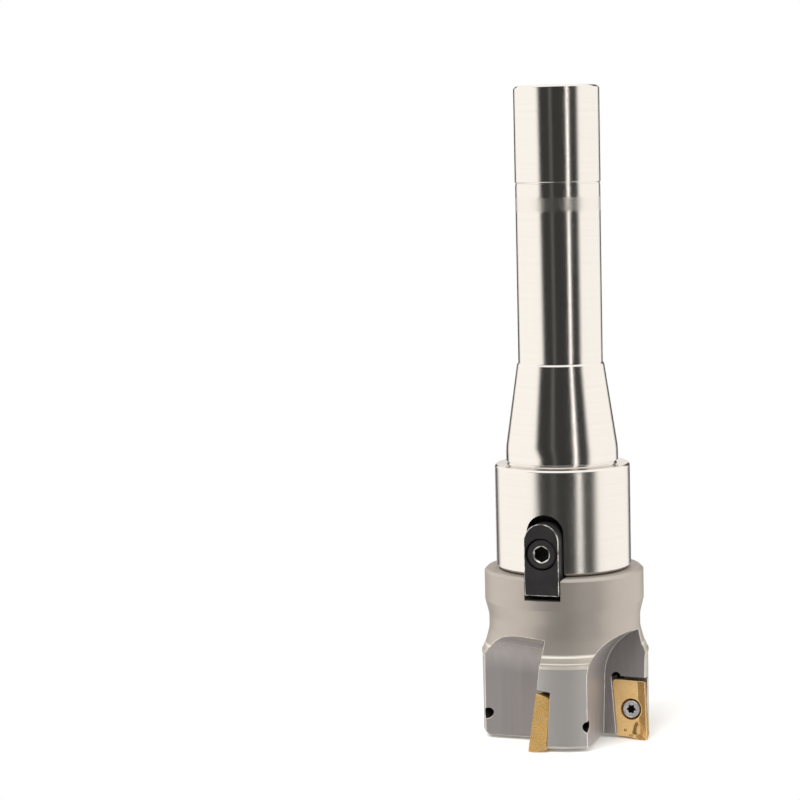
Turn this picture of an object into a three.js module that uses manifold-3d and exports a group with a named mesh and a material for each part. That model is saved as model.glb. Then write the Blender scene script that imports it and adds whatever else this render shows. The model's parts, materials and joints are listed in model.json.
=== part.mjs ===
// Face mill on an R8 arbor, in millimetres.
// +Z runs up the spindle axis and z = 0 is the plane of the insert tips.
// The arbor's flange drives the cutter through two keys, on -Y and +Y.
// An axial screw holds the cutter up against the flange.
import * as THREE from "three";
import { mergeVertices } from "three/addons/utils/BufferGeometryUtils.js";
import Module from "manifold-3d";

const wasm = await Module();
wasm.setup();

const GAP = 0.3; // clearance between neighbouring pieces
const FINE = 48; // sides of the large round surfaces
const MEDIUM = 32; // sides of the cutter's bore
const COARSE = 20; // sides of screws and their holes
const NARROW = 12; // sides of the coolant holes
const REACH = 60; // length of a cutting tool that must run clear of the part

// Arbor: R8 shank above, drive flange, pilot below.
const SEAT_Z = 48.8; // underside of the flange, where the cutter seats
const FLANGE = { radius: 19.15, top: 78.2, chamfer: 0.6 };
const R8 = {
  bandBottom: 79.1,
  largeEnd: 82.6,
  largeRadius: 15.875,
  smallEnd: 106.4,
  halfAngle: 8.4258,
  runOut: 0.4,
};
const SHANK = { top: 184.2, step: 157.5, upperRadius: 12.05, lowerRadius: 11.95, chamfer: 1 };
const NECK_RADIUS = 15.2;
const KEYWAY = { width: 4, depth: 2.4, bottom: 132 };
const DRAWBAR = { radius: 5.15, depth: 40, mouth: 6, mouthDepth: 1 };
const PILOT = { radius: 11, length: 18, chamfer: 1 };

// Drive keys, their slots and their screws.
const KEY = { width: 9.9, bottom: 43.8, top: 63.9, inner: 15.3, face: 22.5 };
const KEY_SLOT = { width: 10.6, top: 65.9, floor: 15 };
const KEY_BORE = { z: 55.4, head: 4.55, headDepth: 5.6, through: 2.8 };
const KEY_SCREW = { head: 4.25, headHeight: 5, shank: 2.4, length: 10, socket: 4, socketDepth: 2.5 };
const KEY_SCREW_HOLE = { radius: 2.7, end: 6.9 };
const SCREW_BEVEL = 0.06; // as a share of the head's radius

// Axial clamp screw, M10.
const CLAMP = { head: 8, headHeight: 10, shank: 4.75, length: 35, socket: 8, socketDepth: 6, seat: 19 };
const CLAMP_HOLE = { radius: 5.1, top: 58 };

// Cutter body.
const BODY = { bottom: 1, endChamfer: 1, lower: 23.65 };
const RIDGE = { radius: 23.8, z: 24.7, rise: 1.6, fall: 2.3, end: 4, endInset: 0.8 };
const WAIST = { radius: 21.5, bottom: 30.5, top: 35.5 };
const HUB = { radius: 22.6, bottom: 39.3, shoulder: 1.6, shoulderInset: 0.5, chamfer: 0.9 };
const BORE = { radius: PILOT.radius + GAP, bottom: 27.5 };
const COUNTERBORE_RADIUS = 8.75;
const SCREW_CLEARANCE_RADIUS = 5.6;
const DRIVE_SLOT = { width: 10.4, depth: 6.2 };

// Teeth: in a tooth's own frame +X is radial, +Y trails the cutting edge and z = 0 is the tip plane.
const TEETH = 4;
const FIRST_TOOTH = -9.4; // degrees from +X to the first tip
const AXIAL_RAKE = 7.5;
const RADIAL_RAKE = -4;
const COOLANT = { radius: 1.5, azimuth: -50.5, mouthZ: 7.2, rootZ: 10.5 }; // azimuth from the tip behind it
const GULLET = { floor: 11.7, turn: 10, runOut: 14, runOutZ: 17.5 };

// Inserts: the outline lies in the rake plane, outward and up, and the body runs back from it.
const INSERT = {
  width: 9.525,
  length: 17,
  thickness: 4.76,
  lean: 3.5,
  corner: 0.8,
  relief: 11,
  hole: 2.25,
  sink: 3.05,
};
const TIP_RADIUS = 25;
const POCKET_RELIEF_RADIUS = 1.1;
const INSERT_SCREW = {
  head: 2.75,
  shank: 1.85,
  length: 7.9,
  below: 0.25,
  rim: 0.9,
  cone: 1.3,
  drive: 1.25,
  driveDepth: 1.2,
};
const INSERT_SCREW_HOLE = { radius: 2.15, depth: 3.4 };

function finish(color, roughness, metalness) {
  return new THREE.MeshStandardMaterial({ color, roughness, metalness });
}

const GROUND_STEEL = finish(0xd9d4ce, 0.18, 1);
const SATIN_NICKEL = finish(0x9a938c, 0.42, 0.9);
const GOLD_COAT = finish(0xd0a45c, 0.32, 0.85);
const BLACK_OXIDE = finish(0x3a363a, 0.45, 0.7);
const BRIGHT_STEEL = finish(0xc9c6c4, 0.25, 1);

const rad = THREE.MathUtils.degToRad;

// A closed geometry as a solid that can be joined and cut.
function solid(geometry) {
  const bare = geometry.clone();
  bare.deleteAttribute("normal");
  bare.deleteAttribute("uv");
  const merged = mergeVertices(bare);
  return new wasm.Manifold(
    new wasm.Mesh({
      numProp: 3,
      vertProperties: new Float32Array(merged.attributes.position.array),
      triVerts: new Uint32Array(merged.index.array),
    }),
  );
}

function mesh(name, body, material) {
  const { vertProperties, triVerts } = body.getMesh();
  const geometry = new THREE.BufferGeometry();
  geometry.setAttribute("position", new THREE.BufferAttribute(vertProperties, 3));
  geometry.setIndex(new THREE.BufferAttribute(triVerts, 1));
  const made = new THREE.Mesh(geometry, material);
  made.name = name;
  return made;
}

const subtractAll = (body, tools) => tools.reduce((left, tool) => left.subtract(tool), body);

// Round solid about +Z from [radius, z] points that start and end on the axis, listed upwards.
function turned(points, sides) {
  const profile = points.map(([r, z]) => new THREE.Vector2(r, z));
  return solid(new THREE.LatheGeometry(profile, sides).rotateX(Math.PI / 2));
}

function rod(radius, bottom, top, sides = COARSE) {
  return turned([[0, bottom], [radius, bottom], [radius, top], [0, top]], sides);
}

// A flat outline as a straight-sided solid from z = 0 up.
function extruded(shape, depth, curveSegments = 10) {
  return new THREE.ExtrudeGeometry(shape, { depth, bevelEnabled: false, curveSegments });
}

// A flat outline in X and Z, as a slab from y0 to y1.
function slab(shape, y0, y1) {
  return solid(extruded(shape, y1 - y0).rotateX(Math.PI / 2).translate(0, y1, 0));
}

function box(x0, x1, y0, y1, z0, z1) {
  const geometry = new THREE.BoxGeometry(x1 - x0, y1 - y0, z1 - z0);
  return solid(geometry.translate((x0 + x1) / 2, (y0 + y1) / 2, (z0 + z1) / 2));
}

function hexagon(acrossFlats) {
  const corners = [];
  for (let i = 0; i < 6; i++) {
    const angle = (i * Math.PI) / 3;
    const radius = acrossFlats / Math.sqrt(3);
    corners.push(new THREE.Vector2(radius * Math.cos(angle), radius * Math.sin(angle)));
  }
  return new THREE.Shape(corners);
}

// A hexagon socket about +Z that opens upwards at the given height.
function hexSocket(acrossFlats, depth, top) {
  return solid(extruded(hexagon(acrossFlats), depth + 1).translate(0, 0, top - depth));
}

function alongAxis(body, direction, start) {
  const turn = new THREE.Quaternion().setFromUnitVectors(new THREE.Vector3(0, 0, 1), direction);
  return placed(body, new THREE.Matrix4().compose(start, turn, new THREE.Vector3(1, 1, 1)));
}

const placed = (body, matrix) => body.transform(matrix.elements);

const keyDirection = (side) => new THREE.Vector3(0, side, 0);
const keyAxisPoint = (side, distance) => new THREE.Vector3(0, side * distance, KEY_BORE.z);

function arbor() {
  const smallRadius = R8.largeRadius - (R8.smallEnd - R8.largeEnd) * Math.tan(rad(R8.halfAngle));
  const profile = [
    [0, SEAT_Z - PILOT.length],
    [PILOT.radius - PILOT.chamfer, SEAT_Z - PILOT.length],
    [PILOT.radius, SEAT_Z - PILOT.length + PILOT.chamfer],
    [PILOT.radius, SEAT_Z],
    [FLANGE.radius - FLANGE.chamfer, SEAT_Z],
    [FLANGE.radius, SEAT_Z + FLANGE.chamfer],
    [FLANGE.radius, FLANGE.top - FLANGE.chamfer],
    [FLANGE.radius - FLANGE.chamfer, FLANGE.top],
    [NECK_RADIUS, FLANGE.top],
    [NECK_RADIUS, R8.bandBottom],
    [R8.largeRadius, R8.bandBottom],
    [R8.largeRadius, R8.largeEnd],
    [smallRadius, R8.smallEnd],
    [SHANK.lowerRadius, R8.smallEnd + R8.runOut],
    [SHANK.lowerRadius, SHANK.step],
    [SHANK.upperRadius, SHANK.step],
    [SHANK.upperRadius, SHANK.top - SHANK.chamfer],
    [SHANK.upperRadius - SHANK.chamfer, SHANK.top],
    [0, SHANK.top],
  ];
  const drawbarHole = turned(
    [
      [0, SHANK.top - DRAWBAR.depth],
      [DRAWBAR.radius, SHANK.top - DRAWBAR.depth],
      [DRAWBAR.radius, SHANK.top - DRAWBAR.mouthDepth],
      [DRAWBAR.mouth, SHANK.top],
      [DRAWBAR.mouth, SHANK.top + 1],
      [0, SHANK.top + 1],
    ],
    COARSE,
  );
  const keyway = box(
    -KEYWAY.width / 2,
    KEYWAY.width / 2,
    SHANK.upperRadius - KEYWAY.depth,
    REACH,
    KEYWAY.bottom,
    SHANK.top + 1,
  );
  const cuts = [drawbarHole, keyway, rod(CLAMP_HOLE.radius, 0, CLAMP_HOLE.top)];
  for (const side of [-1, 1]) {
    cuts.push(flangeSlot(side));
    const screwHole = rod(KEY_SCREW_HOLE.radius, KEY_SCREW_HOLE.end, REACH);
    cuts.push(alongAxis(screwHole, keyDirection(side), keyAxisPoint(side, 0)));
  }
  return mesh("arbor", subtractAll(turned(profile, FINE), cuts), GROUND_STEEL);
}

// An outline with a square foot and a round head, in X and Z.
function archShape(width, bottom, top) {
  const half = width / 2;
  const shape = new THREE.Shape();
  shape.moveTo(-half, bottom);
  shape.lineTo(half, bottom);
  shape.absarc(0, top - half, half, 0, Math.PI, false);
  return shape;
}

function radialSlab(shape, side, inner, outer) {
  return side < 0 ? slab(shape, -outer, -inner) : slab(shape, inner, outer);
}

function flangeSlot(side) {
  const outline = archShape(KEY_SLOT.width, SEAT_Z - 1, KEY_SLOT.top);
  return radialSlab(outline, side, KEY_SLOT.floor, REACH);
}

function driveKey(name, side) {
  const blank = radialSlab(archShape(KEY.width, KEY.bottom, KEY.top), side, KEY.inner, KEY.face);
  const boring = turned(
    [
      [0, 0],
      [KEY_BORE.through, 0],
      [KEY_BORE.through, KEY.face - KEY_BORE.headDepth],
      [KEY_BORE.head, KEY.face - KEY_BORE.headDepth],
      [KEY_BORE.head, REACH],
      [0, REACH],
    ],
    COARSE,
  );
  const bored = blank.subtract(alongAxis(boring, keyDirection(side), keyAxisPoint(side, 0)));
  return mesh(name, bored, BLACK_OXIDE);
}

// A socket-head cap screw about +Z: the head's underside is at z = 0 and the shank runs down.
function capScrew(dims) {
  const bevel = SCREW_BEVEL * dims.head;
  const blank = turned(
    [
      [0, -dims.length],
      [dims.shank - 2 * bevel, -dims.length],
      [dims.shank, 2 * bevel - dims.length],
      [dims.shank, 0],
      [dims.head, 0],
      [dims.head, dims.headHeight - bevel],
      [dims.head - bevel, dims.headHeight],
      [0, dims.headHeight],
    ],
    COARSE,
  );
  return blank.subtract(hexSocket(dims.socket, dims.socketDepth, dims.headHeight));
}

function keyScrew(name, side) {
  const headSeat = KEY.face - KEY_BORE.headDepth + GAP;
  const body = alongAxis(capScrew(KEY_SCREW), keyDirection(side), keyAxisPoint(side, headSeat));
  return mesh(name, body, BLACK_OXIDE);
}

function clampScrew() {
  const headDown = new THREE.Matrix4().makeRotationX(Math.PI).setPosition(0, 0, CLAMP.seat);
  return mesh("clamp_screw", placed(capScrew(CLAMP), headDown), BLACK_OXIDE);
}

function toothMatrix(index) {
  return new THREE.Matrix4().makeRotationZ(rad(FIRST_TOOTH + (360 / TEETH) * index));
}

// From the insert's own axes to the tooth's frame.
// X runs outward, Y back into the tooth and Z up the cutting edge.
function rakeTilt() {
  const tilt = new THREE.Matrix4().makeTranslation(TIP_RADIUS, 0, 0);
  tilt.multiply(new THREE.Matrix4().makeRotationZ(-rad(RADIAL_RAKE)));
  tilt.multiply(new THREE.Matrix4().makeRotationX(-rad(AXIAL_RAKE)));
  return tilt.multiply(new THREE.Matrix4().makeTranslation(-TIP_RADIUS, 0, 0));
}

// The chip space in front of one tooth: a flat floor that runs out upwards in an arc.
function gullet() {
  const outline = new THREE.Shape();
  const centre = GULLET.floor + GULLET.runOut;
  outline.moveTo(GULLET.floor, -REACH / 2);
  outline.lineTo(REACH, -REACH / 2);
  outline.lineTo(REACH, GULLET.runOutZ + GULLET.runOut);
  outline.lineTo(centre, GULLET.runOutZ + GULLET.runOut);
  outline.absarc(centre, GULLET.runOutZ, GULLET.runOut, Math.PI / 2, Math.PI, false);
  const rise = new THREE.Matrix4().makeRotationX(-rad(AXIAL_RAKE));
  const turn = new THREE.Matrix4().makeRotationZ(rad(GULLET.turn));
  const sweep = placed(slab(outline, -REACH, REACH / 2), turn.multiply(rise));
  const ahead = placed(box(-REACH, REACH, -REACH, 0, -REACH, REACH), rakeTilt());
  return sweep.intersect(ahead);
}

// The insert's corners in its rake plane, anticlockwise from the inner lower one.
function insertCorners(grow) {
  const shift = INSERT.length * Math.tan(rad(INSERT.lean));
  const slope = grow * Math.tan(rad(INSERT.lean));
  return [
    [TIP_RADIUS - INSERT.width - grow + slope, -grow],
    [TIP_RADIUS + grow + slope, -grow],
    [TIP_RADIUS - shift + grow - slope, INSERT.length + grow],
    [TIP_RADIUS - INSERT.width - shift - grow - slope, INSERT.length + grow],
  ];
}

function insertCentre() {
  const corners = insertCorners(0);
  return new THREE.Vector3((corners[0][0] + corners[2][0]) / 2, 0, INSERT.length / 2);
}

function roundedShape(corners, radius) {
  const shape = new THREE.Shape();
  corners.forEach((corner, i) => {
    const here = new THREE.Vector2(...corner);
    const before = new THREE.Vector2(...corners[(i + corners.length - 1) % corners.length]);
    const after = new THREE.Vector2(...corners[(i + 1) % corners.length]);
    const from = here.clone().addScaledVector(before.sub(here).normalize(), radius);
    const to = here.clone().addScaledVector(after.sub(here).normalize(), radius);
    if (i === 0) shape.moveTo(from.x, from.y);
    else shape.lineTo(from.x, from.y);
    shape.quadraticCurveTo(here.x, here.y, to.x, to.y);
  });
  return shape;
}

// The seat that the insert drops into, open outwards and downwards.
function insertPocket() {
  const [innerLow, , , innerHigh] = insertCorners(GAP);
  const slope = (innerHigh[0] - innerLow[0]) / (innerHigh[1] - innerLow[1]);
  const low = -REACH / 2;
  const outline = new THREE.Shape([
    new THREE.Vector2(innerLow[0] + slope * (low - innerLow[1]), low),
    new THREE.Vector2(REACH, low),
    new THREE.Vector2(REACH, innerHigh[1]),
    new THREE.Vector2(...innerHigh),
  ]);
  const depth = INSERT.thickness + GAP;
  const cornerRelief = alongAxis(
    rod(POCKET_RELIEF_RADIUS, -1, depth),
    new THREE.Vector3(0, 1, 0),
    new THREE.Vector3(innerHigh[0], 0, innerHigh[1]),
  );
  const screwHole = alongAxis(
    rod(INSERT_SCREW_HOLE.radius, 0, depth + INSERT_SCREW_HOLE.depth),
    new THREE.Vector3(0, 1, 0),
    insertCentre(),
  );
  const pocket = slab(outline, -1, depth).add(cornerRelief).add(screwHole);
  return placed(pocket, rakeTilt());
}

// A hole from the counterbore to the corner between the gullet and the land ahead of it.
function coolantHole() {
  const azimuth = rad(COOLANT.azimuth);
  const outward = new THREE.Vector3(Math.cos(azimuth), Math.sin(azimuth), 0);
  const root = outward.clone().multiplyScalar(COUNTERBORE_RADIUS - 1).setZ(COOLANT.rootZ);
  const mouth = outward.clone().multiplyScalar(BODY.lower).setZ(COOLANT.mouthZ);
  const direction = mouth.clone().sub(root).normalize();
  return alongAxis(rod(COOLANT.radius, 0, TIP_RADIUS, NARROW), direction, root);
}

function cutterBody() {
  const top = SEAT_Z - GAP;
  const profile = [
    [0, BODY.bottom],
    [BODY.lower - BODY.endChamfer, BODY.bottom],
    [BODY.lower, BODY.bottom + BODY.endChamfer],
    [BODY.lower, RIDGE.z - RIDGE.rise],
    [RIDGE.radius, RIDGE.z],
    [HUB.radius, RIDGE.z + RIDGE.fall],
    [HUB.radius - RIDGE.endInset, RIDGE.z + RIDGE.end],
    [WAIST.radius, WAIST.bottom],
    [WAIST.radius, WAIST.top],
    [HUB.radius - HUB.shoulderInset, HUB.bottom - HUB.shoulder],
    [HUB.radius, HUB.bottom],
    [HUB.radius, top - HUB.chamfer],
    [HUB.radius - HUB.chamfer, top],
    [0, top],
  ];
  const bore = turned(
    [
      [0, -REACH],
      [COUNTERBORE_RADIUS, -REACH],
      [COUNTERBORE_RADIUS, CLAMP.seat + GAP],
      [SCREW_CLEARANCE_RADIUS, CLAMP.seat + GAP],
      [SCREW_CLEARANCE_RADIUS, BORE.bottom],
      [BORE.radius, BORE.bottom],
      [BORE.radius, REACH],
      [0, REACH],
    ],
    MEDIUM,
  );
  const slots = box(
    -DRIVE_SLOT.width / 2,
    DRIVE_SLOT.width / 2,
    -REACH,
    REACH,
    top - DRIVE_SLOT.depth,
    REACH,
  );
  const cuts = [bore, slots];
  for (let i = 0; i < TEETH; i++) {
    cuts.push(placed(gullet(), toothMatrix(i)));
    cuts.push(placed(insertPocket(), toothMatrix(i)));
    cuts.push(placed(coolantHole(), toothMatrix(i)));
  }
  return mesh("cutter_body", subtractAll(turned(profile, FINE), cuts), SATIN_NICKEL);
}

// The relief angle narrows the insert's sides from the rake face back to the seat.
function insertBlank() {
  const geometry = extruded(roundedShape(insertCorners(0), INSERT.corner), INSERT.thickness, 4);
  const centre = insertCentre();
  const inset = INSERT.thickness * Math.tan(rad(INSERT.relief));
  const points = geometry.attributes.position;
  for (let i = 0; i < points.count; i++) {
    if (points.getZ(i) > INSERT.thickness / 2) continue;
    points.setX(i, centre.x + (points.getX(i) - centre.x) * (1 - (2 * inset) / INSERT.width));
    points.setY(i, centre.z + (points.getY(i) - centre.z) * (1 - (2 * inset) / INSERT.length));
  }
  return solid(geometry.rotateX(Math.PI / 2).translate(0, INSERT.thickness, 0));
}

function insert(name, index) {
  const boring = turned(
    [
      [0, -INSERT.thickness - 1],
      [INSERT.hole, -INSERT.thickness - 1],
      [INSERT.hole, -INSERT_SCREW.rim - INSERT_SCREW.cone - INSERT_SCREW.below],
      [INSERT.sink, -INSERT_SCREW.rim - INSERT_SCREW.below],
      [INSERT.sink, 1],
      [0, 1],
    ],
    COARSE,
  );
  const hole = alongAxis(boring, new THREE.Vector3(0, -1, 0), insertCentre());
  const body = placed(placed(insertBlank().subtract(hole), rakeTilt()), toothMatrix(index));
  return mesh(name, body, GOLD_COAT);
}

function insertScrew(name, index) {
  const top = -INSERT_SCREW.below;
  const blank = turned(
    [
      [0, top - INSERT_SCREW.length],
      [INSERT_SCREW.shank, top - INSERT_SCREW.length],
      [INSERT_SCREW.shank, top - INSERT_SCREW.rim - INSERT_SCREW.cone],
      [INSERT_SCREW.head, top - INSERT_SCREW.rim],
      [INSERT_SCREW.head, top],
      [0, top],
    ],
    COARSE,
  );
  const driven = blank.subtract(hexSocket(2 * INSERT_SCREW.drive, INSERT_SCREW.driveDepth, top));
  const seated = alongAxis(driven, new THREE.Vector3(0, -1, 0), insertCentre());
  return mesh(name, placed(placed(seated, rakeTilt()), toothMatrix(index)), BRIGHT_STEEL);
}

const faceMill = new THREE.Group();
faceMill.add(arbor(), cutterBody(), clampScrew());
[-1, 1].forEach((side, i) => {
  faceMill.add(driveKey(`drive_key_${i + 1}`, side), keyScrew(`key_screw_${i + 1}`, side));
});
for (let i = 0; i < TEETH; i++) {
  faceMill.add(insert(`insert_${i + 1}`, i), insertScrew(`insert_screw_${i + 1}`, i));
}

export default faceMill;
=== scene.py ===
"""Face mill on an R8 arbor: the visual model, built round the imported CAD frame.

Sizes are in millimetres until finish_piece scales a piece to metres. +Z runs up the spindle.
"""

import json
import math

import bmesh
import bpy
from mathutils import Matrix, Vector


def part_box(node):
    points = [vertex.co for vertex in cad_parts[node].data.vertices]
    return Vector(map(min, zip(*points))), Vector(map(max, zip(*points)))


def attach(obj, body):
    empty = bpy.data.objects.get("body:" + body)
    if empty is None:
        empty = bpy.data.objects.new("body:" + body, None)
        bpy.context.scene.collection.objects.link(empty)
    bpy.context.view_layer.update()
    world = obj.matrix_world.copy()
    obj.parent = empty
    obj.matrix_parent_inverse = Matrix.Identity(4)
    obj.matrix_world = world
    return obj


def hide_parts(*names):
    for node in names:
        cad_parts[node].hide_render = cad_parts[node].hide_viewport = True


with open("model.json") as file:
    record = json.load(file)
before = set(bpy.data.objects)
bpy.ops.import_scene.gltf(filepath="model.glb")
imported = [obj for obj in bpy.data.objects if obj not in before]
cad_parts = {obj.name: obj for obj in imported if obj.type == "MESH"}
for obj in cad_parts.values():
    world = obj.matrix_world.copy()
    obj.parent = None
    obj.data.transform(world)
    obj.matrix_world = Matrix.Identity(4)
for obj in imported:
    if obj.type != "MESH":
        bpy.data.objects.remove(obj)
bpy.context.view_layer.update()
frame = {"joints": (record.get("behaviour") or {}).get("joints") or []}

MM = 0.001
ROUND = 144  # facets round a turned surface
FINE = 64  # facets round a screw or a hole

# Where things are, read from the frame, in millimetres.
JOINTS = {joint["name"]: joint for joint in frame["joints"]}
ARBOR_LOW, ARBOR_HIGH = (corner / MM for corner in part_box("arbor"))
BODY_LOW, BODY_HIGH = (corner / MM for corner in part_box("cutter_body"))
KEY_LOW, KEY_HIGH = (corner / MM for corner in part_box("drive_key_2"))
CLAMP_LOW, CLAMP_HIGH = (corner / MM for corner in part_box("clamp_screw"))
AXIS = Vector((0, 0, 1))

# Arbor, in millimetres.
SHANK_TOP = ARBOR_HIGH.z
FLANGE_RADIUS = ARBOR_HIGH.x
PILOT_BOTTOM = ARBOR_LOW.z
PILOT_RADIUS = 11.0
SEAT_Z = PILOT_BOTTOM + 18
FLANGE_TOP = SEAT_Z + 29.4
NECK_RADIUS = 15.2
TAPER_LARGE_RADIUS = 31.75 / 2
TAPER_LARGE_Z = SHANK_TOP - 101.6
TAPER_SMALL_Z = TAPER_LARGE_Z + 23.8
TAPER_HALF_ANGLE = math.radians(8.4258)
BAND_BOTTOM = TAPER_LARGE_Z - 3.5
SHANK_RADIUS = 12.05
SHANK_LOWER_RADIUS = 11.95
SHANK_STEP_Z = SHANK_TOP - 26.7
KEYWAY_BOTTOM = SHANK_TOP - 52.2
KEYWAY_HALF_WIDTH = 2.0
KEYWAY_FLOOR = SHANK_RADIUS - 2.4
DRAWBAR_RADIUS = 5.15
DRAWBAR_PITCH = 25.4 / 20
DRAWBAR_DEPTH = 40
CLAMP_HOLE_RADIUS = 5.1
CLAMP_HOLE_TOP = 58.0
RELIEF_DEPTH = 0.35  # groove in the pilot under the flange
STEP_GROOVE_DEPTH = 0.12  # groove under the shank's step
FLANGE_CHAMFER = 0.7
FLANGE_TOP_CHAMFER = 0.5
SHANK_CHAMFER = 0.6
TAPER_FOOT_ROUNDING = 22  # soft change from the band to the taper

# Drive keys and their screws.
KEY_HALF_WIDTH = (KEY_HIGH.x - KEY_LOW.x) / 2
KEY_SLOT_HALF_WIDTH = KEY_HALF_WIDTH + 0.35
KEY_SLOT_TOP = KEY_HIGH.z + 2
KEY_SLOT_FLOOR = KEY_LOW.y - 0.3
KEY_SCREW_Z = JOINTS["key_screw_1_turn"]["pos_m"][2] / MM
KEY_COUNTERBORE_RADIUS = 4.5
KEY_COUNTERBORE_DEPTH = 5.6
KEY_BORE_RADIUS = 2.8
KEY_EDGE = 0.22  # width of the key's broken edges
KEY_SCREW_HOLE_RADIUS = 2.55
KEY_SCREW_HOLE_END = 6.9

# Socket-head cap screws: core and crest are the thread's radii, ridges are the knurls round the head.
KEY_SCREW = dict(
    head_radius=4.25, head_height=5.0, core=2.08, crest=2.48, pitch=0.8, length=10.0,
    socket=4.0, depth=2.5, ridges=36, turn=math.pi / 6,
)
CLAMP_SCREW = dict(
    head_radius=8.0, head_height=10.0, core=4.2, crest=4.95, pitch=1.5, length=35.0,
    socket=8.0, depth=5.5, ridges=54, turn=0.0,
)

# Cutter body.
BODY_RADIUS = 23.65
RIDGE_RADIUS = BODY_HIGH.x
RIDGE_Z = 24.7
HUB_RADIUS = 22.6
HUB_BOTTOM = 39.3
WAIST_RADIUS = 21.5
BORE_RADIUS = 11.3
BORE_BOTTOM = 27.5
CLAMP_SEAT = CLAMP_LOW.z + 10.3
COUNTERBORE_RADIUS = 8.75
CLEARANCE_RADIUS = 5.6
DRIVE_SLOT_HALF_WIDTH = 5.2
DRIVE_SLOT_DEPTH = 6.2

# Teeth and gullets.
TEETH = 4
TIP_RADIUS = 25.0
AXIAL_RAKE = math.radians(7.5)
RADIAL_RAKE = math.radians(-4)
GULLET_FLOOR = 11.7
GULLET_TURN = math.radians(10)
GULLET_RUN_OUT = 14.0
GULLET_RUN_OUT_Z = 17.5
COOLANT_RADIUS = 1.5
COOLANT_AZIMUTH = math.radians(-50.5)
COOLANT_HEADING = math.radians(-33)
COOLANT_DROP = -0.3
COOLANT_DEPTH = 18
COOLANT_MOUTH_Z = 7.3
SEAT_GAP = 0.12  # between an insert and its seat

# Inserts and their screws: X runs outwards and Z upwards from the middle of the rake face.
INSERT_WIDTH = 9.525
INSERT_LENGTH = 17.0
INSERT_THICKNESS = 4.76
INSERT_LEAN = math.radians(4.2)
INNER_LEAN = math.radians(7.2)
SEAT_TAPER = 1.0  # how much thinner the insert is at its upper end
INSERT_CORNER = 0.8
SINK_RADIUS = 3.05
INSERT_HOLE_RADIUS = 2.25
INSERT_CELL = 0.3  # distance between points along the insert's edges
RAKE_DROP = 0.75  # how far the middle of the rake face lies below the cutting edges
RAKE_SLOPE = 2.2  # width of the slope behind the long cutting edge
RAKE_LAND = 0.12  # flat along the long cutting edge
NOSE_SLOPE = 1.3  # width of the slope behind the short one
NOSE_LAND = 0.1
NOSE_X = -0.4  # the short cutting edge runs outwards from here
RING_RADIUS = 3.55  # land round the screw hole
SCOOP = {"x": 2.3, "z": -6.1, "half_width": 1.5, "half_height": 2.7, "depth": 0.42}
DIMPLE = {"x": -1.5, "z": -6.0, "radius_squared": 0.14, "depth": 0.2}
RAKE_ROWS = 46  # rows of faces between the cutting edge and the land round the hole
HONED_RINGS = range(4, 6)  # the rows beside the cutting edge, counted from the seat's hole, in the lightest gold: painted highlight
RAKE_RINGS = range(6, 7 + RAKE_ROWS)

# Photographic set-up: the camera stands in front of the key on -Y, turned towards +X.
CAMERA_HEADING = math.radians(16)
CAMERA_DISTANCE = 0.6173
CAMERA_HEIGHT = 0.1581
CAMERA_YAW = math.radians(4.24)
CAMERA_PITCH = math.radians(5.66)
CAMERA_ROLL = math.radians(1.346)
CAMERA_LENS = 98.25
SENSOR_WIDTH = 36


# ---- mesh tools, all in millimetres


def round_corner(before, here, after, radius, steps):
    """Points on a curve round an outline's corner; a sharp or nearly straight corner is one point."""
    corner = Vector(here[:2])
    back = Vector(before[:2]) - corner
    ahead = Vector(after[:2]) - corner
    angle = back.angle(ahead)
    if radius <= 0 or angle > math.radians(176):
        return [corner]
    reach = min(radius / math.tan(angle / 2), 0.45 * back.length, 0.45 * ahead.length)
    start = corner + back.normalized() * reach
    end = corner + ahead.normalized() * reach
    shares = [step / steps for step in range(steps + 1)]
    return [(1 - t) ** 2 * start + 2 * t * (1 - t) * corner + t**2 * end for t in shares]


def rounded(points, fillet):
    """An outline with its inner corners rounded; a third number on a point is that corner's radius."""
    out = [points[0][:2]]
    for before, here, after in zip(points, points[1:], points[2:]):
        radius = here[2] if len(here) > 2 else fillet
        out += round_corner(before, here, after, radius, 4)
    out.append(points[-1][:2])
    return out


def bridge(bm, low, high):
    """Faces between two rings, or between a ring and a single vertex on the axis."""
    count = max(len(low), len(high))
    for i in range(count):
        j = (i + 1) % count
        loop = [low[i % len(low)], low[j % len(low)], high[j % len(high)], high[i % len(high)]]
        corners = list(dict.fromkeys(loop))
        if len(corners) > 2:
            bm.faces.new(corners)


def lathe(points, sides=ROUND, fillet=0.15, closed=False, wobble=None):
    """A turned solid about +Z from [radius, height] points listed upwards along the outside."""
    if closed:
        points = list(points) + [points[0]]
    bm = bmesh.new()
    rings = []
    for radius, height in rounded(points, fillet):
        if radius < 1e-6:
            rings.append([bm.verts.new((0, 0, height))])
            continue
        ring = []
        for i in range(sides):
            angle = 2 * math.pi * i / sides
            here = radius + (wobble(i, radius, height) if wobble else 0)
            ring.append(bm.verts.new((here * math.cos(angle), here * math.sin(angle), height)))
        rings.append(ring)
    for low, high in zip(rings, rings[1:]):
        bridge(bm, low, high)
    bmesh.ops.remove_doubles(bm, verts=bm.verts, dist=1e-4)
    return bm


def prism(outline, low, high):
    """A solid between two heights from an anticlockwise outline."""
    bm = bmesh.new()
    lower = [bm.verts.new((x, y, low)) for x, y in outline]
    upper = [bm.verts.new((x, y, high)) for x, y in outline]
    bridge(bm, lower, upper)
    bm.faces.new(list(reversed(lower)))
    bm.faces.new(upper)
    return bm


def arc(centre, radius, start, end, steps):
    """Points on an arc, in degrees."""
    out = []
    for step in range(steps + 1):
        angle = math.radians(start + (end - start) * step / steps)
        out.append((centre[0] + radius * math.cos(angle), centre[1] + radius * math.sin(angle)))
    return out


def rod(radius, low, high, sides=FINE):
    return prism(arc((0, 0), radius, 0, 360 * (1 - 1 / sides), sides - 1), low, high)


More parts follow.
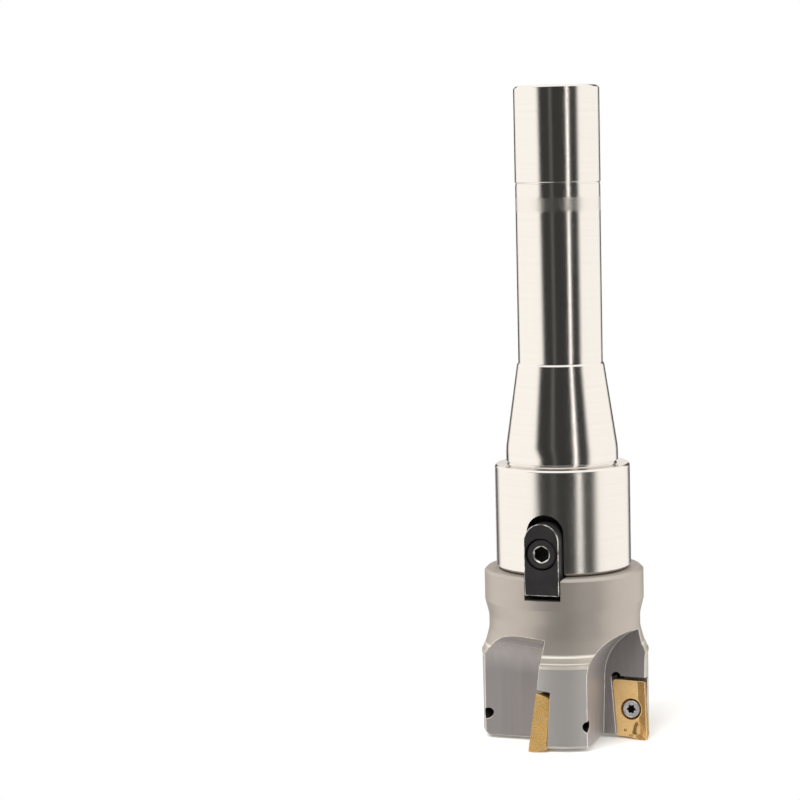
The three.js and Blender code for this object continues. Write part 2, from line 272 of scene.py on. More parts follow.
# One turn of a thread from root to crest: how far up the pitch, and how high between core and crest.
THREAD_ROWS = ((0.0, 0.0), (0.2, 0.0), (0.48, 1.0), (0.68, 1.0))


def threaded(core, crest, pitch, low, high, sides=FINE):
    """A right-hand threaded rod about +Z whose thread fades out at both ends."""
    bm = bmesh.new()
    rows = len(THREAD_ROWS)
    turns = math.ceil((high - low) / pitch) + 2
    columns = []
    for i in range(sides):
        angle = 2 * math.pi * i / sides
        column = []
        for k in range(rows * turns):
            share, height = THREAD_ROWS[k % rows]
            z = low - pitch + pitch * (k // rows + share + i / sides)
            z = min(max(z, low), high)
            fade = min(1.0, (z - low) / pitch, (high - z) / pitch)
            radius = core + (crest - core) * height * fade
            column.append(bm.verts.new((radius * math.cos(angle), radius * math.sin(angle), z)))
        columns.append(column)
    for i in range(sides):
        here = columns[i]
        there = columns[i + 1] if i + 1 < sides else columns[0][rows:]
        for k in range(min(len(here), len(there)) - 1):
            bm.faces.new((here[k], there[k], there[k + 1], here[k + 1]))
    bmesh.ops.remove_doubles(bm, verts=bm.verts, dist=1e-4)
    bmesh.ops.dissolve_degenerate(bm, dist=1e-4, edges=bm.edges)
    open_edges = [edge for edge in bm.edges if edge.is_boundary]
    bmesh.ops.holes_fill(bm, edges=open_edges, sides=0)
    bmesh.ops.recalc_face_normals(bm, faces=bm.faces)
    return bm


def hexagon(across_flats, turn):
    radius = across_flats / math.sqrt(3)
    angles = [turn + i * math.pi / 3 for i in range(6)]
    return [(radius * math.cos(angle), radius * math.sin(angle)) for angle in angles]


def hex_socket(across_flats, top, depth, turn):
    """The tool that cuts a hexagon socket with a chamfered mouth and a drilled bottom."""
    mouth = across_flats * 0.605
    floor = top - depth
    tool = work(prism(hexagon(across_flats, turn), floor, top + 1))
    drilled = [(0, floor - 0.25 * across_flats), (across_flats * 0.46, floor + 0.05), (0, floor + 0.3)]
    countersink = [(0, top - 0.4), (mouth - 0.4, top - 0.4), (mouth + 0.1, top + 0.1), (0, top + 0.1)]
    merge(tool, lathe(drilled, 48, 0), "UNION")
    merge(tool, lathe(countersink, 48, 0), "UNION")
    return tool


def work(bm, matrix=None):
    """A scratch object that holds a solid while it is cut."""
    if matrix:
        bm.transform(matrix)
    mesh = bpy.data.meshes.new("work")
    bm.to_mesh(mesh)
    bm.free()
    obj = bpy.data.objects.new("work", mesh)
    bpy.context.scene.collection.objects.link(obj)
    return obj


def settle(obj):
    """Puts the result of an object's modifiers into its mesh."""
    shown = obj.evaluated_get(bpy.context.evaluated_depsgraph_get())
    mesh = bpy.data.meshes.new_from_object(shown)
    obj.modifiers.clear()
    spent, obj.data = obj.data, mesh
    bpy.data.meshes.remove(spent)
    return obj


def merge(target, tool, operation="DIFFERENCE"):
    """Cuts, joins or intersects target with a tool, which is used up."""
    if not isinstance(tool, bpy.types.Object):
        tool = work(tool)
    boolean = target.modifiers.new("cut", "BOOLEAN")
    boolean.operation = operation
    boolean.solver = "EXACT"
    boolean.object = tool
    settle(target)
    spent = tool.data
    bpy.data.objects.remove(tool)
    bpy.data.meshes.remove(spent)
    return target


def tidy(obj, reach=0.02):
    """Merges the slivers that a cut leaves."""
    bm = bmesh.new()
    bm.from_mesh(obj.data)
    bmesh.ops.remove_doubles(bm, verts=bm.verts, dist=reach)
    bmesh.ops.dissolve_degenerate(bm, dist=reach / 2, edges=bm.edges)
    bmesh.ops.dissolve_limit(bm, angle_limit=math.radians(0.4), verts=bm.verts, edges=bm.edges)
    bmesh.ops.recalc_face_normals(bm, faces=bm.faces)
    bm.to_mesh(obj.data)
    bm.free()
    return obj


def make_slots(mesh, count):
    """Appends empty material slots up to a count."""
    while len(mesh.materials) < count:
        mesh.materials.append(None)


def bevel(obj, width, segments, angle, material):
    """Breaks the sharp edges, with the new faces in their own material slot."""
    make_slots(obj.data, material + 1)
    modifier = obj.modifiers.new("edge_break", "BEVEL")
    modifier.width = width
    modifier.segments = segments
    modifier.limit_method = "ANGLE"
    modifier.angle_limit = math.radians(angle)
    modifier.use_clamp_overlap = False
    modifier.material = material
    modifier.miter_outer = "MITER_ARC"
    return settle(obj)


def paint(obj, test, slot):
    """Gives the faces that pass a test another material slot."""
    for face in obj.data.polygons:
        if test(face):
            face.material_index = slot


def finish_piece(obj, name, materials, sharp=38):
    """Scales a finished solid to metres, gives it its materials and shades it."""
    obj.name = name
    mesh = obj.data
    mesh.name = name
    mesh.transform(Matrix.Scale(MM, 4))
    make_slots(mesh, len(materials))
    for slot, material in enumerate(materials):
        mesh.materials[slot] = material
    mesh.shade_smooth()
    mesh.set_sharp_from_angle(angle=math.radians(sharp))
    normals = obj.modifiers.new("normals", "WEIGHTED_NORMAL")
    normals.keep_sharp = True
    normals.weight = 60
    settle(obj)
    return obj


def copy_to(obj, name, matrix):
    """A copy of a finished piece, moved by a matrix whose translation is in millimetres."""
    moved = matrix.copy()
    moved.translation = matrix.translation * MM
    twin = bpy.data.objects.new(name, obj.data.copy())
    twin.data.transform(moved)
    twin.data.name = name
    bpy.context.scene.collection.objects.link(twin)
    return twin


def discard(*pieces):
    for piece in pieces:
        spent = piece.data
        bpy.data.objects.remove(piece)
        bpy.data.meshes.remove(spent)


# ---- frames of the repeated pieces


def frame_at(x, y, z, origin):
    """The matrix of a frame from its three axes and its origin."""
    matrix = Matrix((x, y, z)).transposed().to_4x4()
    matrix.translation = origin
    return matrix


def insert_frame(index):
    """X outward, Y back into the tooth and Z up the cutting edge, from the middle of the rake face."""
    joint = JOINTS[f"insert_screw_{index}_turn"]
    back = -Vector(joint["axis"]).normalized()
    across = back.cross(AXIS).normalized()
    return frame_at(across, back, across.cross(back), Vector(joint["pos_m"]) / MM)


def tooth_azimuth(index):
    across = insert_frame(index).to_3x3().col[0]
    return math.atan2(across.y, across.x) + RADIAL_RAKE


def side_frame(side):
    """Turns a piece that is modelled on +Y to its own side."""
    return Matrix.Rotation(0 if side > 0 else math.pi, 4, "Z")


def screw_frame(joint_name):
    """+Z out along the way a screw backs out, with the head's underside at the origin."""
    joint = JOINTS[joint_name]
    out = Vector(joint["axis"]).normalized()
    across = AXIS.cross(out)
    across = Vector((1, 0, 0)) if across.length < 1e-6 else across.normalized()
    return frame_at(across, out.cross(across), out, Vector(joint["pos_m"]) / MM)


# A small turn that keeps the facets of two round surfaces from lining up.
OFF_SEAM = Matrix.Rotation(0.03, 4, "Z")
# Takes an outline in X and Y to X and Z, and its height to -Y.
LAY_DOWN = Matrix.Rotation(math.pi / 2, 4, "X")
# Takes +Z to +Y.
INTO_DEPTH = Matrix.Rotation(-math.pi / 2, 4, "X")


# ---- arbor


def arch(half_width, bottom, top):
    """A slot outline with a round head, anticlockwise in X and Z."""
    head = arc((0, top - half_width), half_width, 0, 180, 32)
    return [(-half_width, bottom), (half_width, bottom)] + head


def radial_prism(outline, inner, outer):
    """An outline in X and Z as a solid from inner to outer along +Y."""
    bm = prism(outline, -outer, -inner)
    bm.transform(LAY_DOWN)
    return bm


def build_arbor(materials):
    taper_small_radius = TAPER_LARGE_RADIUS - (TAPER_SMALL_Z - TAPER_LARGE_Z) * math.tan(TAPER_HALF_ANGLE)
    profile = [
        (0, CLAMP_HOLE_TOP + 2.5),
        (CLAMP_HOLE_RADIUS, CLAMP_HOLE_TOP, 0),
        (CLAMP_HOLE_RADIUS, PILOT_BOTTOM + 0.8, 0),
        (CLAMP_HOLE_RADIUS + 0.8, PILOT_BOTTOM),
        (PILOT_RADIUS - 1, PILOT_BOTTOM),
        (PILOT_RADIUS, PILOT_BOTTOM + 1.4),
        (PILOT_RADIUS, SEAT_Z - 1.6, 0.3),
        (PILOT_RADIUS - RELIEF_DEPTH, SEAT_Z - 1.2, 0.3),
        (PILOT_RADIUS - RELIEF_DEPTH, SEAT_Z, 0.2),
        (FLANGE_RADIUS - FLANGE_CHAMFER, SEAT_Z, 0.1),
        (FLANGE_RADIUS, SEAT_Z + FLANGE_CHAMFER, 0.1),
        (FLANGE_RADIUS, FLANGE_TOP - FLANGE_TOP_CHAMFER, 0.15),
        (FLANGE_RADIUS - FLANGE_TOP_CHAMFER, FLANGE_TOP, 0.15),
        (NECK_RADIUS + 0.4, FLANGE_TOP, 0.3),
        (NECK_RADIUS, BAND_BOTTOM - 0.4, 0.3),
        (NECK_RADIUS, BAND_BOTTOM, 0.1),
        (TAPER_LARGE_RADIUS - 0.15, BAND_BOTTOM, 0.05),
        (TAPER_LARGE_RADIUS, BAND_BOTTOM + 0.15, 0.05),
        (TAPER_LARGE_RADIUS, TAPER_LARGE_Z, TAPER_FOOT_ROUNDING),
        (taper_small_radius, TAPER_SMALL_Z, 0.12),
        (SHANK_LOWER_RADIUS, TAPER_SMALL_Z + 0.5, 0.2),
        (SHANK_LOWER_RADIUS, SHANK_STEP_Z - 0.6, 0),
        (SHANK_LOWER_RADIUS - STEP_GROOVE_DEPTH, SHANK_STEP_Z - 0.5, 0),
        (SHANK_LOWER_RADIUS - STEP_GROOVE_DEPTH, SHANK_STEP_Z - 0.15, 0),
        (SHANK_RADIUS - 0.05, SHANK_STEP_Z, 0),
        (SHANK_RADIUS, SHANK_STEP_Z + 0.1, 0),
        (SHANK_RADIUS, SHANK_TOP - SHANK_CHAMFER, 0.15),
        (SHANK_RADIUS - SHANK_CHAMFER, SHANK_TOP, 0.15),
        (DRAWBAR_RADIUS + 0.9, SHANK_TOP, 0.15),
        (DRAWBAR_RADIUS - 0.1, SHANK_TOP - 1.0, 0.1),
        (DRAWBAR_RADIUS - 0.1, SHANK_TOP - DRAWBAR_DEPTH, 0),
        (0, SHANK_TOP - DRAWBAR_DEPTH - 2.8),
    ]
    arbor = work(lathe(profile, sides=160))
    tap_top = SHANK_TOP - 0.3
    merge(arbor, threaded(DRAWBAR_RADIUS - 0.3, DRAWBAR_RADIUS + 0.4, DRAWBAR_PITCH, tap_top - 36, tap_top))
    keyway = arc((0, KEYWAY_BOTTOM + KEYWAY_HALF_WIDTH), KEYWAY_HALF_WIDTH, 180, 360, 24)
    keyway += [(KEYWAY_HALF_WIDTH, SHANK_TOP + 2), (-KEYWAY_HALF_WIDTH, SHANK_TOP + 2)]
    merge(arbor, radial_prism(keyway, KEYWAY_FLOOR, 20))
    for side in (-1, 1):
        slot = arch(KEY_SLOT_HALF_WIDTH, SEAT_Z - 2, KEY_SLOT_TOP)
        merge(arbor, work(radial_prism(slot, KEY_SLOT_FLOOR, 25), side_frame(side)))
        hole = rod(KEY_SCREW_HOLE_RADIUS, KEY_SCREW_HOLE_END, 20, 48)
        hole.transform(Matrix.Translation((0, 0, -key_screw_reach(side))) @ OFF_SEAM)
        merge(arbor, work(hole, screw_frame(key_screw_joint(side))))
    tidy(arbor, 0.002)

    def in_slot(face):
        x, y, z = face.center
        near = abs(x) < KEY_SLOT_HALF_WIDTH + 0.05 and z < KEY_SLOT_TOP + 0.05
        return near and abs(y) > KEY_SLOT_FLOOR - 0.05 and math.hypot(x, y) < FLANGE_RADIUS - 0.2

    # The key slots are painted near-black: painted shade in the gap round each key.
    paint(arbor, in_slot, 2)
    return finish_piece(arbor, "arbor_finished", materials)


def key_index(side):
    return 1 if side < 0 else 2


def key_screw_joint(side):
    return f"key_screw_{key_index(side)}_turn"


def key_screw_reach(side):
    """How far the head's underside stands from the spindle axis."""
    return abs(JOINTS[key_screw_joint(side)]["pos_m"][1]) / MM


# ---- drive keys and screws


def build_key(materials):
    outline = arch(KEY_HALF_WIDTH, KEY_LOW.z, KEY_HIGH.z)
    key = work(radial_prism(outline, KEY_LOW.y, KEY_HIGH.y))
    boring = [
        (0, KEY_LOW.y - 1),
        (KEY_BORE_RADIUS, KEY_LOW.y - 1, 0),
        (KEY_BORE_RADIUS, KEY_HIGH.y - KEY_COUNTERBORE_DEPTH, 0),
        (KEY_COUNTERBORE_RADIUS, KEY_HIGH.y - KEY_COUNTERBORE_DEPTH, 0.2),
        (KEY_COUNTERBORE_RADIUS, KEY_HIGH.y + 1, 0),
        (0, KEY_HIGH.y + 1),
    ]
    centre = Vector((0, 0, KEY_SCREW_Z))
    merge(key, work(lathe(boring, 72), Matrix.Translation(centre) @ INTO_DEPTH))
    tidy(key)
    # The key's broken edges get the light edge colour: partly wear, partly painted highlight.
    bevel(key, KEY_EDGE, 2, 34, material=1)

    def round_the_bore(face):
        return (face.center - centre).xz.length < KEY_COUNTERBORE_RADIUS + KEY_EDGE

    paint(key, round_the_bore, 0)
    return finish_piece(key, "drive_key_pattern", materials)


def cap_screw(head_radius, head_height, core, crest, pitch, length, socket, depth, ridges, turn):
    """A socket-head cap screw: the head's underside is at z = 0 and the shank runs down."""

    def knurl(i, radius, height):
        on_side = radius > head_radius - 0.02 and 0.12 * head_height < height < 0.88 * head_height
        return -0.035 * head_radius if on_side and i % 4 < 2 else 0

    rim = 0.05 * head_radius
    head = [
        (0, -0.5),
        (core * 0.9, -0.5, 0),
        (core * 1.1, 0, 0.1),
        (head_radius - rim, 0, 0.05),
        (head_radius, rim, 0.05),
        (head_radius, 0.11 * head_height, 0),
        (head_radius, 0.13 * head_height, 0),
        (head_radius, 0.87 * head_height, 0),
        (head_radius, 0.89 * head_height, 0),
        (head_radius, head_height - 2.2 * rim, 0.1),
        (head_radius - 2.2 * rim, head_height, 0.15),
        (0, head_height),
    ]
    screw = work(lathe(head, 4 * ridges, 0, wobble=knurl))
    merge(screw, threaded(core, crest, pitch, -length, 0.3), "UNION")
    merge(screw, hex_socket(socket, head_height, depth, turn))
    tidy(screw, 0.005)

    mouth_bottom = head_height - 0.42

    def in_socket(face):
        return face.center.xy.length < socket * 0.6 and face.center.z < mouth_bottom

    def on_mouth(face):
        return face.center.xy.length < socket * 0.62 and mouth_bottom < face.center.z < head_height - 0.01

    # The hex socket is painted near-black: painted shade in the recess.
    paint(screw, in_socket, 2)
    # The socket's mouth gets the light edge colour: partly wear, partly painted highlight.
    paint(screw, on_mouth, 1)
    return screw


def build_key_screw(materials):
    screw = cap_screw(**KEY_SCREW)
    return finish_piece(screw, "key_screw_pattern", materials, sharp=32)


def build_clamp_screw(materials):
    screw = cap_screw(**CLAMP_SCREW)
    return finish_piece(screw, "clamp_screw_pattern", materials, sharp=32)


# ---- inserts


def insert_corners(grow=0.0):
    """The insert's outline in its rake plane, anticlockwise from the inner lower corner."""
    low = -INSERT_LENGTH / 2
    high = INSERT_LENGTH / 2 - 0.4
    step = 0.7
    end_relief = 1.6 * grow
    return [
        (inner_edge(low + step) - grow, low + step - end_relief),
        (inner_edge(low + step) + 4.9, low + step - 0.05 - end_relief),
        (inner_edge(low + step) + 6.6, low + 0.05 - end_relief),
        (outer_edge(low) + grow, low - end_relief),
        (outer_edge(high) + grow, high + grow),
        (inner_edge(high) - grow, high + grow),
    ]


def outer_edge(z):
    """Where the long cutting edge is at a height above the insert's middle."""
    return INSERT_WIDTH / 2 - 0.12 - z * math.tan(INSERT_LEAN)


def inner_edge(z):
    return -INSERT_WIDTH / 2 - z * math.tan(INNER_LEAN)


def seat_depth(z):
    """How far the seat lies behind the rake plane: the insert is thickest at its nose."""
    return INSERT_THICKNESS - SEAT_TAPER * (z / INSERT_LENGTH + 0.5)


def closed_rounding(corners, radii):
    """A closed outline whose corners are rounded, with the same number of points whatever the radii."""
    out = []
    for i, here in enumerate(corners):
        out += round_corner(corners[i - 1], here, corners[(i + 1) % len(corners)], radii[i], 6)
    return out


def ramped(distance, width):
    """0 before an edge, 1 beyond a slope of this width."""
    return min(1, max(0, distance) / width)


def rake_depth(x, z):
    """How far the rake face lies behind its plane at a point."""
    slope = ramped(outer_edge(z) - x - RAKE_LAND, RAKE_SLOPE)
    if x > NOSE_X:
        end_slope = ramped(z + INSERT_LENGTH / 2 - NOSE_LAND, NOSE_SLOPE)
        slope = min(slope, max(end_slope, 1 - (x - NOSE_X) / 1.2))
    ring = ramped(RING_RADIUS + 0.1 - math.hypot(x, z), 0.2)
    depth = RAKE_DROP * slope * (1 - ring) + RAKE_DROP * ring
    across = (x - SCOOP["x"]) / SCOOP["half_width"]
    along = (z - SCOOP["z"]) / SCOOP["half_height"]
    depth += SCOOP["depth"] * max(0, 1 - across**2 - along**2) ** 0.6 * (1 - ring)
    off_dimple = (x - DIMPLE["x"]) ** 2 + (z - DIMPLE["z"]) ** 2
    return depth + DIMPLE["depth"] * max(0, 1 - off_dimple / DIMPLE["radius_squared"])


def build_insert(materials):
    """One insert in its own frame: the rake face looks along -Y and the long cutting edge is at +X."""
    radii = [0.5, 0.4, 0.5, INSERT_CORNER, 0.5, 1.0]

    def flank(inset):
        tightened = [max(0.15, radius - inset / 2) for radius in radii]
        return closed_rounding(insert_corners(-inset), tightened)

    edge = flank(0)
    sides = zip(edge, edge[1:] + edge[:1])
    counts = [math.ceil((after - here).length / INSERT_CELL) for here, after in sides]

    def matching(points):
        """A ring with as many points along each side as the cutting edge has."""
        out = []
        for here, after, count in zip(points, points[1:] + points[:1], counts):
            out += [here.lerp(after, k / count) for k in range(count)]
        return out

    bm = bmesh.new()
    rings = []

    def ring(points, depth):
        """Adds a ring of points; depth is how far back it lies, or a function that says so at a point."""
        depth_at = depth if callable(depth) else lambda x, z: depth
        rings.append([bm.verts.new((p.x, depth_at(p.x, p.y), p.y)) for p in points])

    def seat(x, z):
        return seat_depth(z)

    def above_seat(x, z):
        return seat_depth(z) - 0.25

    outline = matching(edge)
    rays = [point.normalized() for point in outline]

    def round_ring(radius, depth):
        ring([ray * radius for ray in rays], depth)

    round_ring(INSERT_HOLE_RADIUS + 0.3, seat)
    ring(matching(flank(1.05)), seat)
    ring(matching(flank(0.85)), above_seat)
    ring(matching(flank(0.12)), 1.35)
    ring(outline, rake_depth)
    for row in range(1, RAKE_ROWS + 1):
        share = (row / RAKE_ROWS) ** 1.15
        ring([point.lerp(ray * RING_RADIUS, share) for point, ray in zip(outline, rays)], rake_depth)
    for radius in (3.3, 3.1, SINK_RADIUS):
        round_ring(radius, RAKE_DROP)
    round_ring(SINK_RADIUS - 0.06, RAKE_DROP + 0.1)
    round_ring(SINK_RADIUS - 0.12, 2.15)
    round_ring(INSERT_HOLE_RADIUS, 3.0)
    round_ring(INSERT_HOLE_RADIUS, above_seat)
    # Rake-face rows get a lighter, less metallic gold and the edge rows a lighter one still: painted
    # highlight.
    for i, (low, high) in enumerate(zip(rings, rings[1:] + rings[:1])):
        bridge(bm, low, high)
        bm.faces.ensure_lookup_table()
        for face in bm.faces[-len(outline):]:
            face.material_index = 2 if i in HONED_RINGS else 1 if i in RAKE_RINGS else 0
    bmesh.ops.recalc_face_normals(bm, faces=bm.faces)
    bm.normal_update()
    for face in bm.faces:  # the slopes of the rake face, as against its flats, take a more mirror-like gold that shows darker: painted shade
        if face.material_index == 1 and face.normal.y > -0.99:
            face.material_index = 3
    return finish_piece(work(bm), "insert_pattern", materials, sharp=24)


def lobed(radius, wave, count=72):
    """A six-lobed outline."""
    out = []
    for i in range(count):
        angle = 2 * math.pi * i / count
        here = radius + wave * math.cos(6 * angle)
        out.append((here * math.cos(angle), here * math.sin(angle)))
    return out


def build_insert_screw(materials):
    """Z = 0 is the rake plane; the head's top lies below it and the shank runs down."""
    top = -0.85
    head = [
        (0, -4.8),
        (1.6, -4.8, 0),
        (1.7, -3.0, 0.2),
        (2.4, -2.2, 0.1),
        (2.45, -1.15, 0.1),
        (2.38, top - 0.12, 0.12),
        (2.1, top, 0.2),
        (1.55, top, 0.05),
        (1.42, top - 0.14, 0.05),
        (0, top - 0.14),
    ]
    screw = work(lathe(head, 72, 0.05))
    merge(screw, threaded(1.5, 1.84, 0.7, -7.9, -4.5, 48), "UNION")
    merge(screw, prism(lobed(1.14, 0.19), top - 1.5, top + 1))
    drilled = [(0, top - 2.2), (0.9, top - 1.53), (0.9, top - 1.4), (0, top - 1.3)]
    merge(screw, work(lathe(drilled, 36, 0), OFF_SEAM))
    tidy(screw, 0.001)

    def in_drive(face):
        return face.center.xy.length < 1.36 and top - 2.3 < face.center.z < top - 0.2

    # The Torx drive is painted near-black: painted shade in the recess.
    paint(screw, in_drive, 1)
    return finish_piece(screw, "insert_screw_pattern", materials, sharp=32)


# ---- cutter body


def tooth_frame(index):
    return Matrix.Rotation(tooth_azimuth(index), 4, "Z")


def rake_tilt():
    """From a tooth's frame, with its tip on +X, to the plane of its rake face."""
    shift = Matrix.Translation((TIP_RADIUS, 0, 0))
    turn = Matrix.Rotation(-RADIAL_RAKE, 4, "Z") @ Matrix.Rotation(-AXIAL_RAKE, 4, "X")
    return shift @ turn @ shift.inverted()


def gullet(index):
    """The chip space in front of a tooth: a flat floor that runs out upwards in an arc."""
    far = 60
    centre = GULLET_FLOOR + GULLET_RUN_OUT
    top = GULLET_RUN_OUT_Z + GULLET_RUN_OUT
    outline = [(GULLET_FLOOR, -far), (far, -far), (far, top)]
    outline += arc((centre, GULLET_RUN_OUT_Z), GULLET_RUN_OUT, 90, 180, 40)
    sweep = prism(outline, -far, far)
    sweep.transform(LAY_DOWN)
    sweep.transform(Matrix.Rotation(GULLET_TURN, 4, "Z") @ Matrix.Rotation(-AXIAL_RAKE, 4, "X"))
    ahead = prism([(-far, -far), (far, -far), (far, 0), (-far, 0)], -far, far)
    tool = merge(work(sweep), work(ahead, rake_tilt()), "INTERSECT")
    tool.data.transform(tooth_frame(index))
    return tool


def insert_pocket(index):
    """The seat of an insert, open outwards and downwards, with a relief hole in its corner."""
    far = 40
    high = INSERT_LENGTH / 2 + 0.55
    outline = [(inner_edge(-far) - SEAT_GAP, -far), (far, -far)]
    outline += [(far, high), (inner_edge(high) - SEAT_GAP, high)]
    seat = prism(outline, 0, 1)
    for vertex in seat.verts:
        x, z, back = vertex.co
        depth = seat_depth(z) + SEAT_GAP
        vertex.co = (x, depth if back < 0.5 else -2, z)
    tool = work(seat)
    tool.data.flip_normals()
    corner = Matrix.Translation((inner_edge(high) + 1.4, 0, high - 0.15))
    relief = rod(1.25, -2, seat_depth(high) + SEAT_GAP + 0.05, 32)
    merge(tool, work(relief, corner @ INTO_DEPTH), "UNION")
    merge(tool, work(rod(2.0, 0, INSERT_THICKNESS + 3.6, 48), INTO_DEPTH), "UNION")
    tool.data.transform(insert_frame(index))
    return tool


def coolant_axis(index):
    """A coolant hole's mouth, in the corner between the gullet and the land ahead, and its way out."""
    outward = Vector((math.cos(COOLANT_AZIMUTH), math.sin(COOLANT_AZIMUTH), 0))
    mouth = outward * (BODY_RADIUS - 0.9) + AXIS * COOLANT_MOUTH_Z
    along = Vector((math.cos(COOLANT_HEADING), math.sin(COOLANT_HEADING), COOLANT_DROP)).normalized()
    turn = tooth_frame(index)
    return turn @ mouth, turn.to_3x3() @ along


def coolant_hole(index):
    mouth, along = coolant_axis(index)
    placing = along.to_track_quat("Z", "Y").to_matrix().to_4x4()
    placing.translation = mouth
    return work(rod(COOLANT_RADIUS, -COOLANT_DEPTH, 8, 48), placing)


def from_line(point, start, along):
    """How far a point is from a line, and how far along it."""
    reach = (point - start).dot(along)
    return (point - start - along * reach).length, reach


def off_turned_surface(face):
    """True where a face does not look straight away from the spindle axis."""
    outward = face.center.xy.normalized()
    return face.normal.xy.length < 1e-6 or abs(outward.dot(face.normal.xy.normalized())) < 0.97


def build_cutter(materials):
    top = BODY_HIGH.z
    bottom = BODY_LOW.z
    profile = [
        (COUNTERBORE_RADIUS + 0.8, bottom, 0),
        (BODY_RADIUS - 0.9, bottom, 0.2),
        (BODY_RADIUS, bottom + 0.9, 0.3),
        (BODY_RADIUS, 23.4, 0),
        (RIDGE_RADIUS - 0.1, 23.75, 0.1),
        (RIDGE_RADIUS, 24.2, 0.1),
        (RIDGE_RADIUS, RIDGE_Z + 0.1, 0.1),
        (RIDGE_RADIUS - 0.35, 25.15, 0.05),
        (RIDGE_RADIUS - 0.75, 26.45, 0.1),
        (HUB_RADIUS + 0.1, 26.95, 0.1),
        (HUB_RADIUS, 27.3, 0.2),
        (HUB_RADIUS - 0.5, 29.0, 6),
        (WAIST_RADIUS, 31.4, 8),
        (WAIST_RADIUS, 35.2, 8),
        (HUB_RADIUS - 0.25, 38.6, 1),
        (HUB_RADIUS, HUB_BOTTOM + 0.3, 1.0),
        (HUB_RADIUS, top - 0.8, 0.15),
        (HUB_RADIUS - 0.8, top, 0.15),
        (BORE_RADIUS + 0.9, top, 0.1),
        (BORE_RADIUS, top - 0.9, 0.1),
        (BORE_RADIUS, BORE_BOTTOM + 0.01, 0.3),
        (CLEARANCE_RADIUS + 0.5, BORE_BOTTOM, 0),
        (CLEARANCE_RADIUS, BORE_BOTTOM - 0.5, 0),
        (CLEARANCE_RADIUS, CLAMP_SEAT, 0),
        (COUNTERBORE_RADIUS, CLAMP_SEAT - 0.01, 0.3),
        (COUNTERBORE_RADIUS, bottom + 0.8, 0),
    ]
    cutter = work(lathe(profile, sides=160, closed=True))
    for index in range(1, TEETH + 1):
        merge(cutter, gullet(index))
        merge(cutter, insert_pocket(index))
        merge(cutter, coolant_hole(index))
    tidy(cutter, 0.01)
    # The bevel faces get the lighter edge nickel: partly wear, partly painted highlight.
    bevel(cutter, 0.14, 1, 30, material=1)
    half = DRIVE_SLOT_HALF_WIDTH
    slot = [(-half, -30), (half, -30), (half, 30), (-half, 30)]
    merge(cutter, prism(slot, top - DRIVE_SLOT_DEPTH, top + 5))
    flare = 0.45
    wide = half + 2 * flare
    mouth = [(-half, top - flare), (half, top - flare), (wide, top + flare), (-wide, top + flare)]
    merge(cutter, radial_prism(mouth, -30, 30))
    holes = [coolant_axis(index) for index in range(1, TEETH + 1)]
    into_insert = [insert_frame(index).inverted() for index in range(1, TEETH + 1)]

    def drilled(face):
        if face.center.xy.length < COUNTERBORE_RADIUS:
            return False
        for mouth, along in holes:
            off, reach = from_line(face.center, mouth, along)
            if off < COOLANT_RADIUS + 0.02 and reach > 2 - COOLANT_DEPTH:
                return abs(face.normal.dot(along)) < 0.2
        return False

    def on_ridge(face):
        return RIDGE_Z - 1.4 < face.center.z < RIDGE_Z + 2.7

    def turned(face):
        return on_ridge(face) and face.center.xy.length > HUB_RADIUS - 0.1

    def milled(face):
        low = face.center.z < HUB_BOTTOM - 1 and abs(face.normal.z) < 0.95
        outside = face.center.xy.length > COUNTERBORE_RADIUS + 0.5
        return low and outside and face.material_index == 0 and off_turned_surface(face)

    def in_gap(face):
        for inverse in into_insert:
            x, depth, z = inverse @ face.center
            above = INSERT_LENGTH / 2 + 0.4 < z < INSERT_LENGTH / 2 + 2
            if above and abs(x) < INSERT_WIDTH and 0.02 < depth < INSERT_THICKNESS + 0.5:
                return face.center.xy.length < BODY_RADIUS - 0.05 or abs(face.normal.z) > 0.8
        return False

    paint(cutter, milled, 3)
    # The bands by the ridge get the lighter nickel: partly finish, partly painted highlight.
    paint(cutter, turned, 4)
    # The gap above each insert and the coolant holes are painted near-black: painted shade.
    paint(cutter, in_gap, 2)
    paint(cutter, drilled, 2)
    return finish_piece(cutter, "cutter_body_finished", materials)


# ---- materials


def add_node(tree, kind, inputs=None, **settings):
    """A node with its settings, whose inputs are values or other nodes' outputs."""
    node = tree.nodes.new(kind)
    for key, value in settings.items():
        setattr(node, key, value)
    for key, value in (inputs or {}).items():
        if isinstance(value, bpy.types.NodeSocket):
            tree.links.new(value, node.inputs[key])
        else:
            node.inputs[key].default_value = value
    return node


def set_stops(ramp, stops):
    """Gives a colour ramp its stops, from (position, colour) pairs in rising order."""
    elements = ramp.color_ramp.elements
    while len(elements) < len(stops):
        elements.new(0.5)
    for element, (position, colour) in zip(elements, stops):
        element.position = position
        element.color = (*colour, 1)


